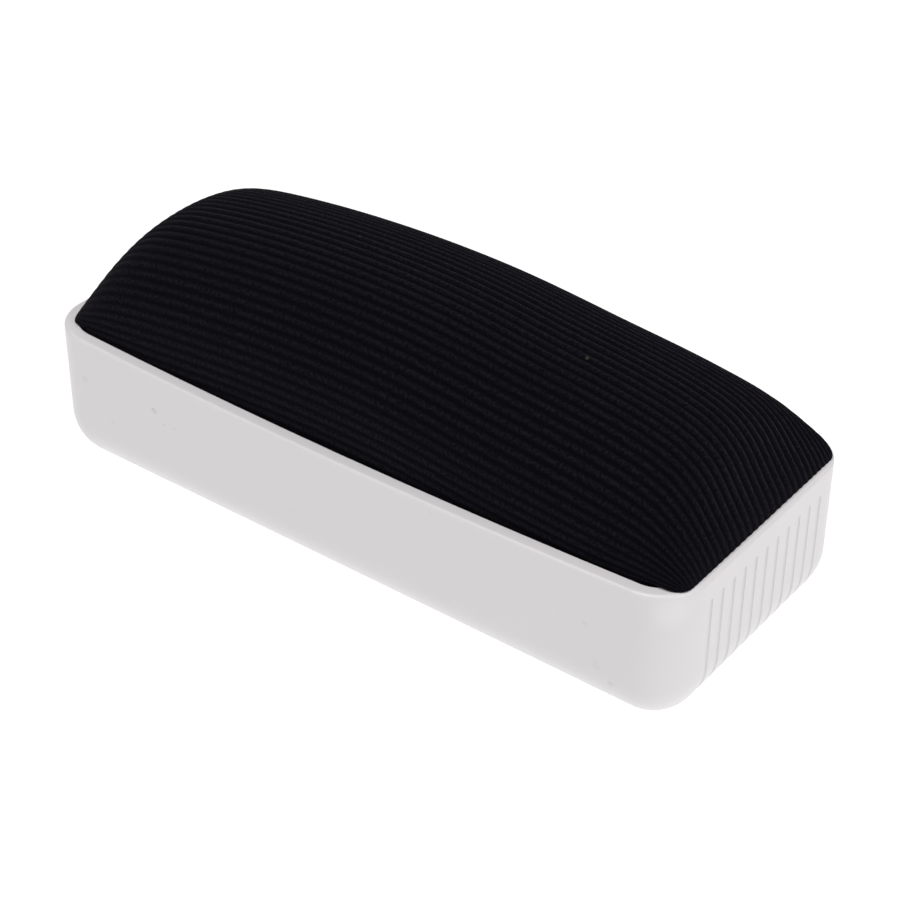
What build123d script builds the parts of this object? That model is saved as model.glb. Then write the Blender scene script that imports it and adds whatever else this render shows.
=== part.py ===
"""Whiteboard eraser: a moulded tray with a cloth-covered, crowned foam pad set into it.

Frame: millimetres, +Z up, +X along the eraser, origin at the centre of the tray's base.
"""

import os
from math import cos, pi, sqrt

from build123d import *

# ---- driving dimensions: tray --------------------------------------------------------
tray_length = 110.0
tray_width = 44.6
tray_height = 23.3  # at the two ends of the rim
rim_dip = 1.4  # how far the rim sags at mid length
wall_thickness = 2.2
floor_thickness = 2.0
corner_radius = 7.0  # upright corners, outside
base_edge_radius = 8.3  # rounding from the walls to the base
base_edge_stop = 0.4  # corner radius that is left where that rounding meets the base
cavity_edge_radius = 4.5  # rounding from the walls to the floor, inside
cavity_edge_share = 0.95  # that rounding is at most this share of the cavity's corner radius
rim_outer_radius = 0.55
rim_inner_radius = 0.35

# ---- driving dimensions: finger grooves in both end walls ------------------------------
groove_count = 11
groove_radius = 0.38
groove_depth = 0.3
groove_rim_gap = 3.9  # from the rim's ends down to the grooves' tops
groove_margin = 1.5  # from the outermost groove to the start of the corner's rounding

# ---- driving dimensions: ribs that carry the pad --------------------------------------
shelf_height = 9.0  # tops of the ribs, above the base
rib_thickness = 1.5
cross_rib_count = 5

# ---- driving dimensions: pad ---------------------------------------------------------
cloth_thickness = 0.9
hem_width = 6.0  # cloth that is folded under the board
board_thickness = 2.0
crown_height = 18.4  # middle of the pad's top above the ends of the rim
end_height = 11.4  # the long arch would be this high at the pad's ends
end_face_height = 2.5  # upright end of the pad's top, above the rim
cross_power = 2.6  # fullness of the arch across the pad
cross_softness = 0.63
end_power = 20.0  # how late the long arch turns down to the ends
end_softness = 0.85
section_count = 25  # sections along the pad that carry its top
arch_points = 15  # points on each section's arch

# ---- driving dimensions: mounting tape -------------------------------------------------
tape_width = 7.0
tape_side_gap = 0.5  # tape to the folded cloth beside it
tape_end_gap = 4.0  # tape to the folded cloth at its ends

# ---- clearances ------------------------------------------------------------------------
pad_clearance = 0.15  # pad to the tray's walls
core_clearance = 0.1  # board and foam to the inside of the cloth
overrun = 1.0  # how far a cutter passes the face that it cuts

# ---- worked out: tray --------------------------------------------------------------------
cavity_length = tray_length - 2 * wall_thickness
cavity_width = tray_width - 2 * wall_thickness
cavity_corner_radius = corner_radius - wall_thickness
base_inset = corner_radius - base_edge_stop
edge_centre_height = sqrt(base_edge_radius**2 - (base_edge_radius - base_inset) ** 2)
end_x = tray_length / 2
side_y = tray_width / 2
straight_x = end_x - corner_radius
straight_y = side_y - corner_radius
groove_offset = groove_radius - groove_depth
groove_x = end_x + groove_offset
groove_top = tray_height - groove_rim_gap
groove_sweep_radius = base_edge_radius + groove_offset
groove_pitch = 2 * (straight_y - groove_margin) / (groove_count - 1)
cross_rib_pitch = cavity_length / (cross_rib_count + 1)

# ---- worked out: pad ---------------------------------------------------------------------
pad_length = cavity_length - 2 * pad_clearance
pad_width = cavity_width - 2 * pad_clearance
pad_corner_radius = cavity_corner_radius - pad_clearance
pocket_length = pad_length - 2 * cloth_thickness
pocket_width = pad_width - 2 * cloth_thickness
pocket_corner_radius = pad_corner_radius - cloth_thickness
core_length = pocket_length - 2 * core_clearance
core_width = pocket_width - 2 * core_clearance
core_corner_radius = pocket_corner_radius - core_clearance
hem_length = pad_length - 2 * hem_width
hem_opening_width = pad_width - 2 * hem_width
board_bottom = shelf_height + cloth_thickness
board_top = board_bottom + board_thickness
tape_length = hem_length - 2 * tape_end_gap
tape_y = (hem_opening_width - tape_width) / 2 - tape_side_gap


def crown_at(across, along, crown):
    """Height of the pad's top: a long arch, turned down at its ends, times an arch across.

    across and along run from -1 to 1 over the pad's width and length.
    """
    long_arch = crown - (crown_height - end_height) * along**2
    turned_down = (1 - abs(along) ** end_power) ** end_softness
    long_height = max(long_arch * turned_down, end_face_height)
    return tray_height + long_height * (1 - abs(across) ** cross_power) ** cross_softness


def crowned_block(length, width, corner, bottom, crown):
    """A closed block with upright sides, whose crowned top is ruled between arched sections."""
    turns = [pi * point / (arch_points - 1) for point in range(arch_points)]
    with BuildPart() as block:
        for step in range(section_count):
            along = -cos(pi * step / (section_count - 1))
            arch = [(-cos(turn) * width / 2, crown_at(cos(turn), along, crown)) for turn in turns]
            with BuildSketch(Plane.YZ.offset(along * length / 2)):
                with BuildLine():
                    Spline(*arch)
                    Polyline(arch[-1], (width / 2, bottom), (-width / 2, bottom), arch[0])
                make_face()
        loft(ruled=True)
        with BuildSketch(Plane.XY.offset(bottom)):
            RectangleRounded(length, width, corner)
        extrude(amount=tray_height + crown_height, mode=Mode.INTERSECT)
    return block.part


def rim_face(tray):
    """The rim: the largest face centred between the rim's lowest and highest points."""
    top_faces = tray.faces().filter_by_position(Axis.Z, tray_height - rim_dip, tray_height)
    return top_faces.sort_by(SortBy.AREA)[-1]


# ---- cutters for the tray ------------------------------------------------------------------
with BuildPart() as cavity:
    with BuildSketch(Plane.XY.offset(floor_thickness)):
        RectangleRounded(cavity_length, cavity_width, cavity_corner_radius)
    extrude(amount=tray_height)
    floor_edges = cavity.faces().sort_by(Axis.Z)[0].edges()
    fillet(floor_edges, min(cavity_edge_radius, cavity_edge_share * cavity_corner_radius))

# One finger groove: a round-ended channel down the end wall and on round the base edge.
with BuildPart() as groove:
    with BuildLine(Plane.XZ):
        Line((groove_x, groove_top), (groove_x, edge_centre_height))
        CenterArc(
            (end_x - base_edge_radius, edge_centre_height),
            groove_sweep_radius,
            start_angle=0,
            arc_size=-90,
        )
    with BuildSketch(Plane((groove_x, 0, groove_top), z_dir=(0, 0, -1))):
        Circle(groove_radius)
    sweep()
    with Locations((groove_x, 0, groove_top)):
        Sphere(groove_radius)

# ---- tray ----------------------------------------------------------------------------------
with BuildPart() as housing:
    with BuildSketch():
        RectangleRounded(tray_length, tray_width, corner_radius)
    extrude(amount=tray_height)
    add(cavity.part, mode=Mode.SUBTRACT)

    # Ribs that carry the pad, let into the walls.
    with BuildSketch(Plane.XY.offset(floor_thickness)):
        with GridLocations(cross_rib_pitch, 0, cross_rib_count, 1):
            Rectangle(rib_thickness, cavity_width + wall_thickness)
        with GridLocations(0, 2 * tape_y, 1, 2):
            Rectangle(cavity_length + wall_thickness, rib_thickness)
    extrude(amount=shelf_height - floor_thickness)

    # The rounding to the base: all that lies outside an arc, taken off round the outline.
    with BuildLine():
        Line((0, -side_y), (straight_x, -side_y))
        RadiusArc((straight_x, -side_y), (end_x, -straight_y), -corner_radius)
        Line((end_x, -straight_y), (end_x, straight_y))
        RadiusArc((end_x, straight_y), (straight_x, side_y), -corner_radius)
        Line((straight_x, side_y), (-straight_x, side_y))
        RadiusArc((-straight_x, side_y), (-end_x, straight_y), -corner_radius)
        Line((-end_x, straight_y), (-end_x, -straight_y))
        RadiusArc((-end_x, -straight_y), (-straight_x, -side_y), -corner_radius)
        Line((-straight_x, -side_y), (0, -side_y))
    with BuildSketch(Plane((0, -side_y, 0), x_dir=(0, 1, 0), z_dir=(1, 0, 0))):
        with BuildLine():
            RadiusArc((0, edge_centre_height), (base_inset, 0), -base_edge_radius)
            Polyline(
                (base_inset, 0),
                (base_inset, -overrun),
                (-overrun, -overrun),
                (-overrun, edge_centre_height),
                (0, edge_centre_height),
            )
        make_face()
    sweep(mode=Mode.SUBTRACT)

    # The rim sags along one shallow arc, and is rounded on both sides.
    with BuildSketch(Plane.XZ):
        with BuildLine():
            ThreePointArc((-end_x, tray_height), (0, tray_height - rim_dip), (end_x, tray_height))
            Polyline(
                (end_x, tray_height),
                (end_x, tray_height + overrun),
                (-end_x, tray_height + overrun),
                (-end_x, tray_height),
            )
        make_face()
    extrude(amount=tray_width, both=True, mode=Mode.SUBTRACT)
    fillet(rim_face(housing).outer_wire().edges(), rim_outer_radius)
    fillet(rim_face(housing).inner_wires().edges(), rim_inner_radius)

    # The finger grooves, in a row on each end.
    with PolarLocations(0, 2):
        with GridLocations(0, groove_pitch, 1, groove_count):
            add(groove.part, mode=Mode.SUBTRACT)

# ---- pad: cloth, board and foam ----------------------------------------------------------
pad_outside = crowned_block(
    pad_length, pad_width, pad_corner_radius, shelf_height, crown_height
)
pocket = crowned_block(
    pocket_length,
    pocket_width,
    pocket_corner_radius,
    board_bottom,
    crown_height - cloth_thickness,
)

with BuildPart() as cover_cloth:
    add(pad_outside)
    add(pocket, mode=Mode.SUBTRACT)
    with BuildSketch(Plane.XY.offset(shelf_height)):
        Rectangle(hem_length, hem_opening_width)
    extrude(amount=cloth_thickness, mode=Mode.SUBTRACT)

with BuildPart() as backing_board:
    with BuildSketch(Plane.XY.offset(board_bottom)):
        RectangleRounded(core_length, core_width, core_corner_radius)
    extrude(amount=board_thickness)

with BuildPart() as foam_core:
    add(
        crowned_block(
            core_length,
            core_width,
            core_corner_radius,
            board_top,
            crown_height - cloth_thickness - core_clearance,
        )
    )

# ---- mounting tape: one strip on each long rib ---------------------------------------------
with BuildPart() as mounting_tape_front:
    with BuildSketch(Plane.XY.offset(shelf_height)):
        with Locations((0, -tape_y)):
            Rectangle(tape_length, tape_width)
    extrude(amount=cloth_thickness)

with BuildPart() as mounting_tape_rear:
    mirror(mounting_tape_front.part, about=Plane.XZ)

# ---- files -----------------------------------------------------------------------------
pieces = {
    "housing": housing,
    "cover_cloth": cover_cloth,
    "backing_board": backing_board,
    "foam_core": foam_core,
    "mounting_tape_front": mounting_tape_front,
    "mounting_tape_rear": mounting_tape_rear,
}
os.makedirs("parts", exist_ok=True)
for name, piece in pieces.items():
    piece.part.label = name
    export_step(piece.part, f"parts/{name}.step")
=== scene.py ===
"""Whiteboard eraser: a white moulded tray that holds a crowned pad in black ribbed cloth.

Metres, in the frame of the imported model: +X along the eraser, +Y across it, +Z up from the tray's base.
"""

from math import cos, pi, radians, sin, sqrt

import bpy
import numpy as np
from mathutils import Matrix, Vector


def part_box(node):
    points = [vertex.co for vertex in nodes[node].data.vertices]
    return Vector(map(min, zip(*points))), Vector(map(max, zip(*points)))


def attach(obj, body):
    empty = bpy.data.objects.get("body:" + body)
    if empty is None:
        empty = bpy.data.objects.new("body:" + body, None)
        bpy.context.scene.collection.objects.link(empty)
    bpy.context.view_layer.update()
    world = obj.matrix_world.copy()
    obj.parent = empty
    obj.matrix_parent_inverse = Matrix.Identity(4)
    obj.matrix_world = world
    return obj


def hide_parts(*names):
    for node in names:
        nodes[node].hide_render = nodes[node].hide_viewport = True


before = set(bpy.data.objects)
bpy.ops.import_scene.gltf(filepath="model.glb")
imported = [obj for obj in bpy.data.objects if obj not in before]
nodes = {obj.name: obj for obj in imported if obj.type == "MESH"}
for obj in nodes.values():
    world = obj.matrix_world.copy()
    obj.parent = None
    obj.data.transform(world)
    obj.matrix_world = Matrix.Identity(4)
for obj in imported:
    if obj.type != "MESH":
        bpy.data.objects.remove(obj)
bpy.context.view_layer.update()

MM = 0.001

# ---- sizes taken from the frame -----------------------------------------------------------
cloth_low, cloth_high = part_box("cover_cloth")
board_low, board_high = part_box("backing_board")
tray_low, tray_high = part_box("housing")
half_length = cloth_high.x
half_width = cloth_high.y
cloth_thickness = board_low.z - cloth_low.z

# ---- the pad's shape ------------------------------------------------------------------------
wall_corner = 4.65 * MM  # upright corners of the pad, down in the tray
crown_corner = 2.6 * MM  # the crown's corners are fuller, and lie over the rim
foot_gap = 0.05 * MM  # from the rim's ends up to where the crown starts
crown_rise = 18.5 * MM  # middle of the crown above its foot
long_sag = 6.6 * MM  # of the long arch at the ends, growing with the square of the distance
end_power = 18.0  # how late the long arch turns down
right_softness = 0.85  # of the turn down at +X
left_softness = 1.2  # and at -X
side_power = 2.1  # fullness of the arch across the pad
side_softness = 0.395
side_softening = 0.17  # how much softer that arch gets towards the ends
lean = 0.068  # the crown is this share lower at +X, and higher at -X
ridge_shift = 0.073  # of the half width, towards the front
hollow_depth = 0.49 * MM  # of a shallow hollow across the crown, worn in by use
hollow_place = 0.41  # of the half length
hollow_width = 0.21
right_lap = 1.75 * MM  # how far the crown's foot is pushed out over the rim at +X
left_lap = 0.2 * MM
lap_power = 12.0  # how close to the ends the lap starts
lap_height = 4.5 * MM  # how quickly it ends above the foot
rib_pitch = 1.48 * MM  # along the curve of the cloth
rib_relief = 0.26 * MM
rib_sharpness = 1.7  # over 1, the ribs are narrow and the valleys wide
gather_power = 5.0  # how late towards the ends the ribs are drawn closer together
end_press = 0.7  # share of the ribs' relief that is pressed out of the crown's ends
end_press_power = 80.0  # how close to the ends that starts
front_press = 0.45  # share that use has worn out of the front of the crown
front_start = -0.4  # where that wear starts, as v
front_full = -0.8  # where it is at its full share
tuck_depth = 2.5 * MM  # over which the ribs are pressed flat below the crown's foot
hem_width = 6.0 * MM  # cloth that is folded under the board
fold_radius = 0.8 * MM
core_gap = 0.15 * MM  # foam to the inside of the cloth

# ---- mesh densities ---------------------------------------------------------------------------
rib_steps = 336  # faces across the crown
long_steps = 168  # faces along it
lining_stride = 6  # the inside of the cloth has one face for this many outside
tuck_rings = 7
fold_rings = 3
foam_long_steps = 72
foam_cross_steps = 48
sharp_angle = radians(75)
curve_samples = 4001  # points at which a curve's length is added up


# ==== shapes =======================================================================================
def rounded_plan(u, v, length, width, corner):
    """Carries the square from -1 to 1 each way onto a rounded rectangle of half sizes length and width.

    x = length u and y = width v. Within one corner radius of both edges, each is drawn in by the
    square of its own way into the corner times the drop of the corner's arc at the other's, so that
    the square's edge lies on the arc.
    """
    x, y = length * u, width * v
    into_x = np.clip(np.abs(x) - (length - corner), 0, None) / corner
    into_y = np.clip(np.abs(y) - (width - corner), 0, None) / corner

    def arc_drop(way):
        return 1 - np.sqrt(1 - (way - (1 - sqrt(0.5)) * way**2) ** 2)

    drawn_x = x - np.sign(x) * corner * into_x**2 * arc_drop(into_y)
    drawn_y = y - np.sign(y) * corner * into_y**2 * arc_drop(into_x)
    return drawn_x, drawn_y


def crown(u, v, rise):
    """Height of the pad's top above its foot, over the square from -1 to 1 each way.

    The long arch is rise less long_sag u^2, leaning by (1 - lean u), less a hollow
    hollow_depth exp(-((u - hollow_place) / hollow_width)^2), and turned down at the ends by
    (1 - |u|^end_power)^end_softness. It is multiplied by the arch across, (1 - |w|^side_power)^softness,
    where w = |v + ridge_shift (1 - v^2)|, and the softness grows with u^2.
    """
    hollow = hollow_depth * np.exp(-(((u - hollow_place) / hollow_width) ** 2))
    long_arch = (rise - long_sag * u**2) * (1 - lean * u) - hollow
    end_softness = np.where(u > 0, right_softness, left_softness)
    turned_down = (1 - np.abs(u) ** end_power) ** end_softness
    w = np.clip(np.abs(v + ridge_shift * (1 - v**2)), 0, 1)
    softness = side_softness * (1 + side_softening * u**2)
    return long_arch * turned_down * (1 - w**side_power) ** softness


def even_steps(height_at, half, count):
    """count + 1 values from -1 to 1, at equal distances along the curve (half t, height_at(t))."""
    fine = np.sin(np.linspace(-pi / 2, pi / 2, curve_samples))
    steps = np.hypot(np.diff(half * fine), np.diff(height_at(fine)))
    travelled = np.concatenate([[0], np.cumsum(steps)])
    return np.interp(np.linspace(0, travelled[-1], count + 1), travelled, fine)


def crowned_top(u, v, inset, corner, lap=0.0):
    """Points of the crowned top over every pair of u and v, with its outline and rise less by inset.

    The foot is pushed out at the ends by lap |u|^lap_power exp(-(height / lap_height)^2).
    """
    u, v = np.meshgrid(u, v, indexing="ij")
    x, y = rounded_plan(u, v, half_length - inset, half_width - inset, corner - inset)
    height = crown(u, v, crown_rise - inset)
    x += np.sign(u) * lap * np.abs(u) ** lap_power * np.exp(-((height / lap_height) ** 2))
    return np.stack([x, y, foot_level + height], -1)


def surface_normals(points):
    """Unit normals of a grid of points: the cross product of its two gradients."""
    across = np.cross(np.gradient(points, axis=0), np.gradient(points, axis=1))
    return across / np.linalg.norm(across, axis=-1, keepdims=True)


def grid_faces(rows, columns, first):
    """Quads of a grid whose vertices run row by row, counted from first."""
    corner = first + np.arange(rows - 1)[:, None] * columns + np.arange(columns - 1)
    return np.stack([corner, corner + columns, corner + columns + 1, corner + 1], -1).reshape(-1, 4)


def grid_edge(rows, columns):
    """The vertices on a grid's edge in turn, anticlockwise from above."""
    grid = np.arange(rows * columns).reshape(rows, columns)
    return np.concatenate([grid[:-1, 0], grid[-1, :-1], grid[:0:-1, -1], grid[0, :0:-1]])


def band_faces(upper, lower):
    """Quads between two loops of as many vertices, facing away from what the loops go round."""
    return np.stack([upper, lower, np.roll(lower, -1), np.roll(upper, -1)], -1)


def outward(outline, corner, inset):
    """Unit normals of a rounded rectangle, each from the nearest point of its corners' centres' box."""
    reach = np.array([half_length - inset - corner, half_width - inset - corner])
    away = outline - np.clip(outline, -reach, reach)
    return away / np.linalg.norm(away, axis=-1, keepdims=True)


def make_piece(name, vertices, faces, chart=None):
    """A mesh piece at the origin, smooth, with chart as its UV map, one pair for each vertex."""
    mesh = bpy.data.meshes.new(name)
    mesh.from_pydata(vertices.tolist(), [], [face for group in faces for face in group.tolist()])
    if chart is not None:
        corner_vertex = np.zeros(len(mesh.loops), np.int32)
        mesh.loops.foreach_get("vertex_index", corner_vertex)
        layer = mesh.uv_layers.new(name="cloth")
        layer.data.foreach_set("uv", chart[corner_vertex].astype(np.float32).ravel())
    mesh.polygons.foreach_set("use_smooth", np.ones(len(mesh.polygons), bool))
    mesh.set_sharp_from_angle(angle=sharp_angle)
    mesh.validate()
    piece = bpy.data.objects.new(name, mesh)
    bpy.context.scene.collection.objects.link(piece)
    return piece


# ==== the pad's cover ================================================================================
foot_level = tray_high.z + foot_gap


def rib_height(across):
    """Relief of the ribs at a distance across the cloth: |cos|^rib_sharpness, half a turn a pitch."""
    return rib_relief * np.abs(np.cos(pi * across / rib_pitch)) ** rib_sharpness


def make_cover():
    """The cloth as one closed shell: ribbed outside, skirt, fold, hem under the board, smooth inside."""
    u = even_steps(lambda t: crown(t, 0 * t, crown_rise), half_length, long_steps)
    v = even_steps(lambda t: crown(0 * t, t, crown_rise), half_width, rib_steps)
    end_lap = np.where(u > 0, right_lap, left_lap)[:, None]
    base = crowned_top(u, v, rib_relief, crown_corner, end_lap)
    rows, columns = base.shape[:2]
    edge = grid_edge(rows, columns)
    square = np.stack(np.meshgrid(u, v, indexing="ij"), -1).reshape(-1, 2)[edge]

    # Distances along and across the cloth, from the middle of the crown.
    ridge = columns // 2
    across_steps = np.linalg.norm(np.diff(base, axis=1), axis=-1)
    across = np.concatenate([np.zeros((rows, 1)), np.cumsum(across_steps, axis=1)], 1)
    across -= across[:, ridge : ridge + 1]
    across += (across[rows // 2] - across) * np.abs(u[:, None]) ** gather_power
    along_steps = np.linalg.norm(np.diff(base[:, ridge], axis=0), axis=-1)
    along = np.concatenate([[0], np.cumsum(along_steps)])
    along = np.broadcast_to((along - along[rows // 2])[:, None], across.shape)

    # The ribs stand out of the crown, and out of the skirt below it, where they are pressed flat.
    normals = surface_normals(base)
    wall_radius = wall_corner - rib_relief
    wall = rounded_plan(*square.T, half_length - rib_relief, half_width - rib_relief, wall_radius)
    outline = np.column_stack(wall)
    out = outward(outline, wall_radius, rib_relief)
    normals.reshape(-1, 3)[edge] = np.column_stack([out, np.zeros(len(out))])
    pressed_ends = 1 - end_press * np.abs(u[:, None]) ** end_press_power
    worn_front = 1 - front_press * np.interp(-v, [-front_start, -front_full], [0, 1])
    relief = rib_height(across) * pressed_ends * worn_front
    top = base + normals * relief[..., None]

    vertices = [top.reshape(-1, 3)]
    chart = [np.column_stack([along.ravel(), across.ravel()])]
    faces = [grid_faces(rows, columns, 0)]
    loop = edge
    count = rows * columns

    def add_ring(points, place):
        """Adds a loop of vertices and the band of faces down to it from the last one."""
        nonlocal loop, count
        ring = np.arange(count, count + len(points))
        vertices.append(points)
        chart.append(place)
        faces.append(band_faces(loop, ring))
        loop = ring
        count += len(points)

    edge_along = along.ravel()[edge]
    edge_across = across.ravel()[edge]
    down_across = np.abs(out[:, 1]) * np.sign(edge_across)  # the ribs lie level on the long sides
    down_along = np.abs(out[:, 0]) * np.sign(edge_along)
    skirt_bottom = cloth_low.z + fold_radius
    near = [foot_gap, *np.linspace(0, 1, tuck_rings + 1)[1:] * tuck_depth]
    edge_share = (pressed_ends * worn_front).ravel()[edge]
    for depth in [*near, foot_level - skirt_bottom]:
        pressed = edge_share * max(0.0, 1 - depth / tuck_depth) ** 0.5
        place = np.column_stack([edge_along + depth * down_along, edge_across + depth * down_across])
        points = outline + out * (rib_height(place[:, 1]) * pressed)[:, None]
        add_ring(np.column_stack([points, np.full(len(points), foot_level - depth)]), place)

    # The fold turns a quarter circle, and the hem runs in to its straight cut edge.
    skirt_place = chart[-1]
    for turn in np.linspace(0, pi / 2, fold_rings + 1)[1:]:
        points = outline - out * fold_radius * (1 - cos(turn))
        height = skirt_bottom - fold_radius * sin(turn)
        add_ring(np.column_stack([points, np.full(len(points), height)]), skirt_place)
    cut = square * np.array([half_length - hem_width, half_width - hem_width])
    cut_place = skirt_place + np.column_stack([down_along, down_across]) * hem_width
    add_ring(np.column_stack([cut, np.full(len(cut), cloth_low.z)]), cut_place)

    # The inside: a coarser grid, its upright sides and the top of the hem, stitched to the cut edge.
    coarse = edge[::lining_stride]
    coarse_u, coarse_v = u[::lining_stride], v[::lining_stride]
    lining_top = crowned_top(coarse_u, coarse_v, rib_relief + cloth_thickness, wall_corner)
    lining_edge = grid_edge(len(coarse_u), len(coarse_v))
    lining_outline = lining_top.reshape(-1, 3)[lining_edge]
    cut_top = np.column_stack([cut[::lining_stride], np.full(len(coarse), board_low.z)])
    wall_foot = np.column_stack([lining_outline[:, :2], np.full(len(coarse), board_low.z)])
    cut_ring = np.arange(count, count + len(coarse))
    foot_ring = cut_ring + len(coarse)
    lining_first = count + 2 * len(coarse)
    vertices += [cut_top, wall_foot, lining_top.reshape(-1, 3)]
    chart += [np.zeros((len(points), 2)) for points in vertices[-3:]]
    fine = loop.reshape(-1, lining_stride)
    next_fine = np.roll(fine[:, 0], -1)[:, None]
    stitch = np.column_stack([fine, next_fine, np.roll(cut_ring, -1), cut_ring])
    faces.append(stitch)
    faces.append(band_faces(cut_ring, foot_ring))
    faces.append(band_faces(foot_ring, lining_first + lining_edge))
    faces.append(grid_faces(len(coarse_u), len(coarse_v), lining_first)[:, ::-1])
    return make_piece("pad_cover", np.concatenate(vertices), faces, np.concatenate(chart))


def make_foam():
    """The foam as a closed form: the crowned top inside the cloth, upright sides and a flat underside."""
    inset = rib_relief + cloth_thickness + core_gap
    u = even_steps(lambda t: crown(t, 0 * t, crown_rise), half_length, foam_long_steps)
    v = even_steps(lambda t: crown(0 * t, t, crown_rise), half_width, foam_cross_steps)
    top = crowned_top(u, v, inset, wall_corner)
    bottom = top.copy()
    bottom[..., 2] = board_high.z
    rows, columns = top.shape[:2]
    edge = grid_edge(rows, columns)
    count = rows * columns
    faces = [
        grid_faces(rows, columns, 0),
        band_faces(edge, edge + count),
        grid_faces(rows, columns, count)[:, ::-1],
    ]
    return make_piece("foam_block", np.concatenate([top.reshape(-1, 3), bottom.reshape(-1, 3)]), faces)


# ==== finishes =======================================================================================
class Level:
    """A number that varies over a surface: an output socket, on which arithmetic adds Math nodes."""

    def __init__(self, finish, socket):
        self.finish = finish
        self.socket = socket

    def calculate(self, operation, *values):
        return self.finish.node("ShaderNodeMath", {"operation": operation}, dict(enumerate(values)))

    def __add__(self, other):
        return self.calculate("ADD", self, other)

    def __mul__(self, other):
        return self.calculate("MULTIPLY", self, other)

    def __pow__(self, other):
        return self.calculate("POWER", self, other)

    __radd__ = __add__
    __rmul__ = __mul__

    def absolute(self):
        return self.calculate("ABSOLUTE", self)

    def cosine(self):
        return self.calculate("COSINE", self)

    def larger(self, other):
        return self.calculate("MAXIMUM", self, other)


class Finish:
    """A material of one Principled shader, whose nodes are added by node()."""

    def __init__(self, name):
        self.material = bpy.data.materials.new(name)
        self.material.use_nodes = True
        self.tree = self.material.node_tree
        self.tree.nodes.clear()

    def node(self, kind, settings=None, values=None, output=0):
        """Adds a node: its settings first, then its sockets' numbers, colours or links."""
        made = self.tree.nodes.new(kind)
        for name, setting in (settings or {}).items():
            setattr(made, name, setting)
        for name, value in (values or {}).items():
            if isinstance(value, Level):
                self.tree.links.new(value.socket, made.inputs[name])
            else:
                made.inputs[name].default_value = value
        return None if output is None else Level(self, made.outputs[output])

    def place(self):
        return self.node("ShaderNodeTexCoord", output="Object")

    def noise(self, place, size, detail=2.0, roughness=0.5, stretch=(1, 1, 1)):
        """Smooth noise from 0 to 1 whose features are about size across, times stretch."""
        shrink = [1 / share for share in stretch]
        scaled = self.node(
            "ShaderNodeMapping", {"vector_type": "POINT"}, {"Vector": place, "Scale": shrink}
        )
        settings = {"noise_dimensions": "3D"}
        values = {"Vector": scaled, "Scale": 1 / size, "Detail": detail, "Roughness": roughness}
        return self.node("ShaderNodeTexNoise", settings, values)

    def limits(self, value, low, high, out_low=0.0, out_high=1.0):
        """Carries value from low..high onto out_low..out_high, eased at both ends."""
        settings = {"interpolation_type": "SMOOTHSTEP", "clamp": True}
        values = {0: value, 1: low, 2: high, 3: out_low, 4: out_high}
        return self.node("ShaderNodeMapRange", settings, values)

    def blend(self, factor, first, second):
        """A colour between first, at factor 0, and second, at factor 1."""

        def colour(value):
            return value if isinstance(value, Level) else (*value, 1)

        settings = {"data_type": "RGBA"}
        return self.node("ShaderNodeMix", settings, {0: factor, 6: colour(first), 7: colour(second)}, 2)

    def spot(self, place, centre, radius):
        """1 at centre, falling to 0 at radius."""
        away = self.node("ShaderNodeVectorMath", {"operation": "DISTANCE"}, {0: place, 1: centre}, "Value")
        return self.limits(away, radius, 0.2 * radius)

    def bump(self, height, depth, strength=1.0):
        """Bump from height, from 0 to 1, over depth in metres."""
        return self.node("ShaderNodeBump", {}, {"Strength": strength, "Distance": depth, "Height": height})

    def shade(self, values):
        """The Principled shader with these values, joined to the material's output."""
        shader = self.node("ShaderNodeBsdfPrincipled", {}, values, "BSDF")
        self.node("ShaderNodeOutputMaterial", {}, {"Surface": shader}, None)
        return self.material


def ribbed_cloth():
    """Black pile cloth: shade painted darker into the valleys between the ribs, ribs a little lighter and
    warmer, and a grain of short fibres.
    """
    finish = Finish("ribbed_cloth")
    place = finish.node("ShaderNodeUVMap", {"uv_map": "cloth"})
    across = finish.node("ShaderNodeSeparateXYZ", {}, {"Vector": place}, "Y")
    rib = (across * (pi / rib_pitch)).cosine().absolute()
    nubs = finish.noise(place, 0.5 * MM, 2.0, 0.6, (0.85, 1.1, 1))
    fibres = finish.noise(place, 0.16 * MM, 2.0, 0.6, (0.7, 1.4, 1))
    patches = finish.noise(place, 14 * MM, 3.0, 0.5, (2.2, 1, 1))
    grain = finish.limits(nubs * 0.65 + fibres * 0.35, 0.36, 0.66)
    # The rib profile darkens the colour towards the valleys as painted shade, on top of the cloth's own
    # grain and patches of tone.
    valley_shade_and_grain = (rib**2.5) * (0.05 + 1.1 * grain) * (0.6 + 0.8 * patches)
    colour = finish.blend(valley_shade_and_grain, (0.0023, 0.0022, 0.0044), (0.0104, 0.0093, 0.0130))
    lint = finish.spot(place, (-0.0135, 0.0016, 0), 0.32 * MM)
    lint = lint.larger(finish.spot(place, (0.0275, -0.0017, 0), 0.34 * MM))
    colour = finish.blend(lint * 0.6, colour, (0.09, 0.08, 0.066))
    height = nubs * 0.6 + fibres * 0.4
    return finish.shade(
        {
            "Base Color": colour,
            "Roughness": finish.limits(grain, 0, 1, 0.97, 0.85),
            "Specular IOR Level": 0.03,
            "Sheen Weight": 0.06,
            "Sheen Roughness": 0.35,
            "Sheen Tint": (1.0, 0.90, 0.93, 1),
            "Normal": finish.bump(height, 0.2 * MM, 0.9),
        }
    )


# Grey specks on the tray's front wall: x, z, radius and strength, in mm.
front_specks = [
    (-47.5, 16.2, 0.75, 0.30),
    (-42.4, 10.8, 0.70, 0.22),
    (-33.6, 16.4, 0.80, 0.45),
    (-31.9, 14.6, 0.55, 0.22),
    (-29.7, 14.9, 0.50, 0.20),
    (41.6, 14.5, 0.60, 0.25),
    (43.6, 8.6, 0.95, 0.20),
    (45.8, 6.3, 0.85, 0.22),
]


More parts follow.
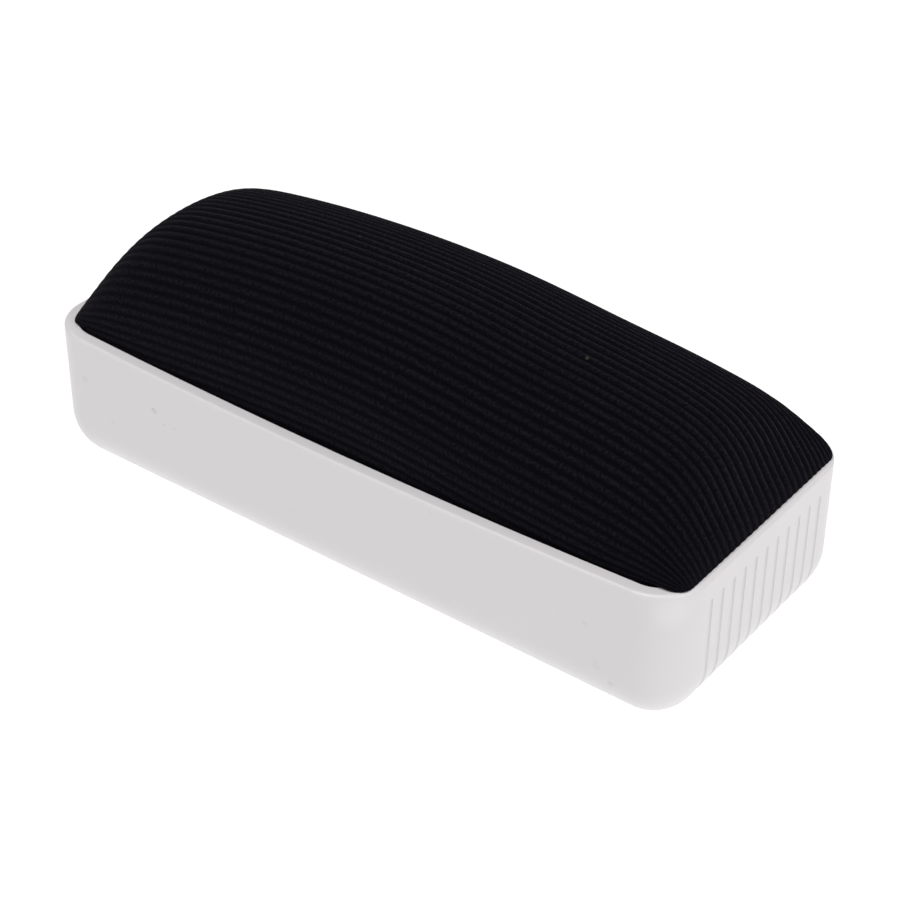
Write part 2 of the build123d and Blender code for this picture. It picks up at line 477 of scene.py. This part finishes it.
def moulded_plastic():
    """White gloss plastic: a faint flow of tone, fine texture, scuffs, a few grey specks and a painted
    highlight on the near corner.
    """
    finish = Finish("moulded_plastic")
    place = finish.place()
    clouds = finish.noise(place, 22 * MM, 2.0)
    texture = finish.noise(place, 0.45 * MM, 3.0, 0.6)
    scuffs = finish.noise(place, 0.9 * MM, 3.0, 0.65, (5, 5, 0.5))
    colour = finish.blend(clouds, (0.742, 0.716, 0.728), (0.762, 0.738, 0.748))
    colour = finish.blend(finish.limits(scuffs, 0.66, 0.80) * 0.10, colour, (0.62, 0.60, 0.61))
    broken = finish.limits(finish.noise(place, 0.35 * MM, 2.0, 0.7), 0.4, 0.62)
    specks = None
    for x, z, radius, strength in front_specks:
        mark = finish.spot(place, (x * MM, tray_low.y, z * MM), radius * MM) * strength
        specks = mark if specks is None else specks.larger(mark)
    colour = finish.blend(specks * broken, colour, (0.34, 0.33, 0.34))
    # Painted highlight: a soft reflection of a softbox, lightened into the colour at the near corner just
    # below the rim.
    painted_corner_highlight = finish.spot(place, (tray_high.x - 2.0 * MM, tray_low.y + 2.0 * MM, 20.6 * MM), 3.6 * MM)
    colour = finish.blend(painted_corner_highlight * 0.35, colour, (0.86, 0.84, 0.85))
    return finish.shade(
        {
            "Base Color": colour,
            "Roughness": finish.limits(texture * 0.5 + scuffs * 0.5, 0.3, 0.7, 0.27, 0.38),
            "IOR": 1.5,
            "Normal": finish.bump(texture, 0.008 * MM, 0.5),
        }
    )


def open_cell_foam():
    """Cream foam: round open cells of about half a millimetre, with shade painted darker inside them."""
    finish = Finish("open_cell_foam")
    place = finish.place()
    cells = finish.node(
        "ShaderNodeTexVoronoi", {"feature": "F1"}, {"Vector": place, "Scale": 1 / (0.9 * MM)}, "Distance"
    )
    walls = finish.limits(cells, 0.15, 0.6)
    tone = finish.noise(place, 12 * MM, 2.0)
    wall_colour = finish.blend(tone, (0.74, 0.70, 0.60), (0.80, 0.77, 0.68))
    return finish.shade(
        {
            # The cells' insides take the darker colour: painted shade in the pores.
            "Base Color": finish.blend(walls, (0.42, 0.38, 0.30), wall_colour),
            "Roughness": finish.limits(walls, 0, 1, 1.0, 0.85),
            "Normal": finish.bump(walls, 0.35 * MM, 0.8),
        }
    )


def pressed_board():
    """Stiff grey-brown board: matted fibres and darker flecks."""
    finish = Finish("pressed_board")
    place = finish.place()
    fibres = finish.noise(place, 0.6 * MM, 4.0, 0.65, (4, 1, 1))
    flecks = finish.limits(finish.noise(place, 1.1 * MM, 2.0, 0.6), 0.64, 0.72)
    colour = finish.blend(fibres, (0.33, 0.28, 0.21), (0.47, 0.41, 0.32))
    return finish.shade(
        {
            "Base Color": finish.blend(flecks, colour, (0.19, 0.155, 0.11)),
            "Roughness": finish.limits(fibres, 0.3, 0.7, 0.92, 0.78),
            "Normal": finish.bump(fibres, 0.06 * MM, 0.7),
        }
    )


def foam_tape():
    """White mounting tape: a dense fine-celled foam with a faint cross-hatch from its liner."""
    finish = Finish("foam_tape")
    place = finish.place()
    cells = finish.noise(place, 0.25 * MM, 2.0, 0.6)
    hatch = finish.node(
        "ShaderNodeTexWave", {"wave_type": "BANDS", "bands_direction": "DIAGONAL"},
        {"Vector": place, "Scale": 0.16 / MM, "Distortion": 0.4}, "Fac",
    )
    colour = finish.blend(cells, (0.78, 0.78, 0.75), (0.88, 0.88, 0.86))
    return finish.shade(
        {
            "Base Color": colour,
            "Roughness": finish.limits(cells, 0.3, 0.7, 0.62, 0.45),
            "Normal": finish.bump(hatch * 0.3 + cells * 0.7, 0.05 * MM, 0.5),
        }
    )


def studio_floor():
    """A pale floor that glows a little, so that no shadow shows on it."""
    finish = Finish("studio_floor")
    return finish.shade(
        {
            "Base Color": (0.2, 0.2, 0.2, 1),
            "Roughness": 0.9,
            "Emission Color": (1, 1, 1, 1),
            "Emission Strength": 0.91,
        }
    )


# ==== the object ======================================================================================
cover = make_cover()
cover.data.materials.append(ribbed_cloth())
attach(cover, "root")
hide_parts("cover_cloth")

foam = make_foam()
foam.data.materials.append(open_cell_foam())
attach(foam, "root")
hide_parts("foam_core")

tape_finish = foam_tape()
node_finishes = {
    "housing": moulded_plastic(),
    "backing_board": pressed_board(),
    "mounting_tape_front": tape_finish,
    "mounting_tape_rear": tape_finish,
}
for name, finish in node_finishes.items():
    mesh = nodes[name].data
    mesh.materials.clear()
    mesh.materials.append(finish)

# ==== the studio ======================================================================================
scene = bpy.context.scene
scene.view_settings.view_transform = "Standard"

floor_mesh = bpy.data.meshes.new("floor")
floor_half = 6.0
floor_square = np.array([(-1, -1, 0), (1, -1, 0), (1, 1, 0), (-1, 1, 0)]) * floor_half
floor_mesh.from_pydata(floor_square.tolist(), [], [(0, 1, 2, 3)])
floor_mesh.materials.append(studio_floor())
floor = bpy.data.objects.new("floor", floor_mesh)
scene.collection.objects.link(floor)

world = bpy.data.worlds.new("studio")
world.use_nodes = True
world.node_tree.nodes["Background"].inputs["Color"].default_value = (1, 1, 1, 1)
world.node_tree.nodes["Background"].inputs["Strength"].default_value = 0.26
scene.world = world


def add_softbox(name, place, target, size, power):
    """A square area light at place, turned to target."""
    light = bpy.data.lights.new(name, "AREA")
    light.shape = "SQUARE"
    light.size = size
    light.energy = power
    lamp = bpy.data.objects.new(name, light)
    facing = (Vector(target) - Vector(place)).to_track_quat("-Z", "Y")
    lamp.matrix_world = Matrix.Translation(place) @ facing.to_matrix().to_4x4()
    scene.collection.objects.link(lamp)


pad_middle = (0, 0, 0.02)
add_softbox("top_softbox", (-0.12, -0.20, 0.86), pad_middle, 0.6, 4.7)
add_softbox("end_softbox", (0.75, -0.10, 0.45), pad_middle, 0.6, 2.3)

# ---- camera --------------------------------------------------------------------------------------------
azimuth = radians(36.80)
elevation = radians(35.23)
roll = radians(0.41)
distance = 337.3 * MM
aim_right = 2.484 * MM
aim_up = 9.368 * MM
camera_data = bpy.data.cameras.new("camera")
camera_data.sensor_width = 36.0
camera_data.lens = 91.46
camera_data.clip_start = 0.01
back = Vector((sin(azimuth) * cos(elevation), -cos(azimuth) * cos(elevation), sin(elevation)))
level_right = (-back).cross(Vector((0, 0, 1))).normalized()
level_up = level_right.cross(-back)
right = cos(roll) * level_right + sin(roll) * level_up
up = cos(roll) * level_up - sin(roll) * level_right
eye = back * distance + right * aim_right + up * aim_up
camera = bpy.data.objects.new("camera", camera_data)
camera.matrix_world = Matrix.Translation(eye) @ Matrix((right, up, back)).transposed().to_4x4()
scene.collection.objects.link(camera)
scene.camera = camera
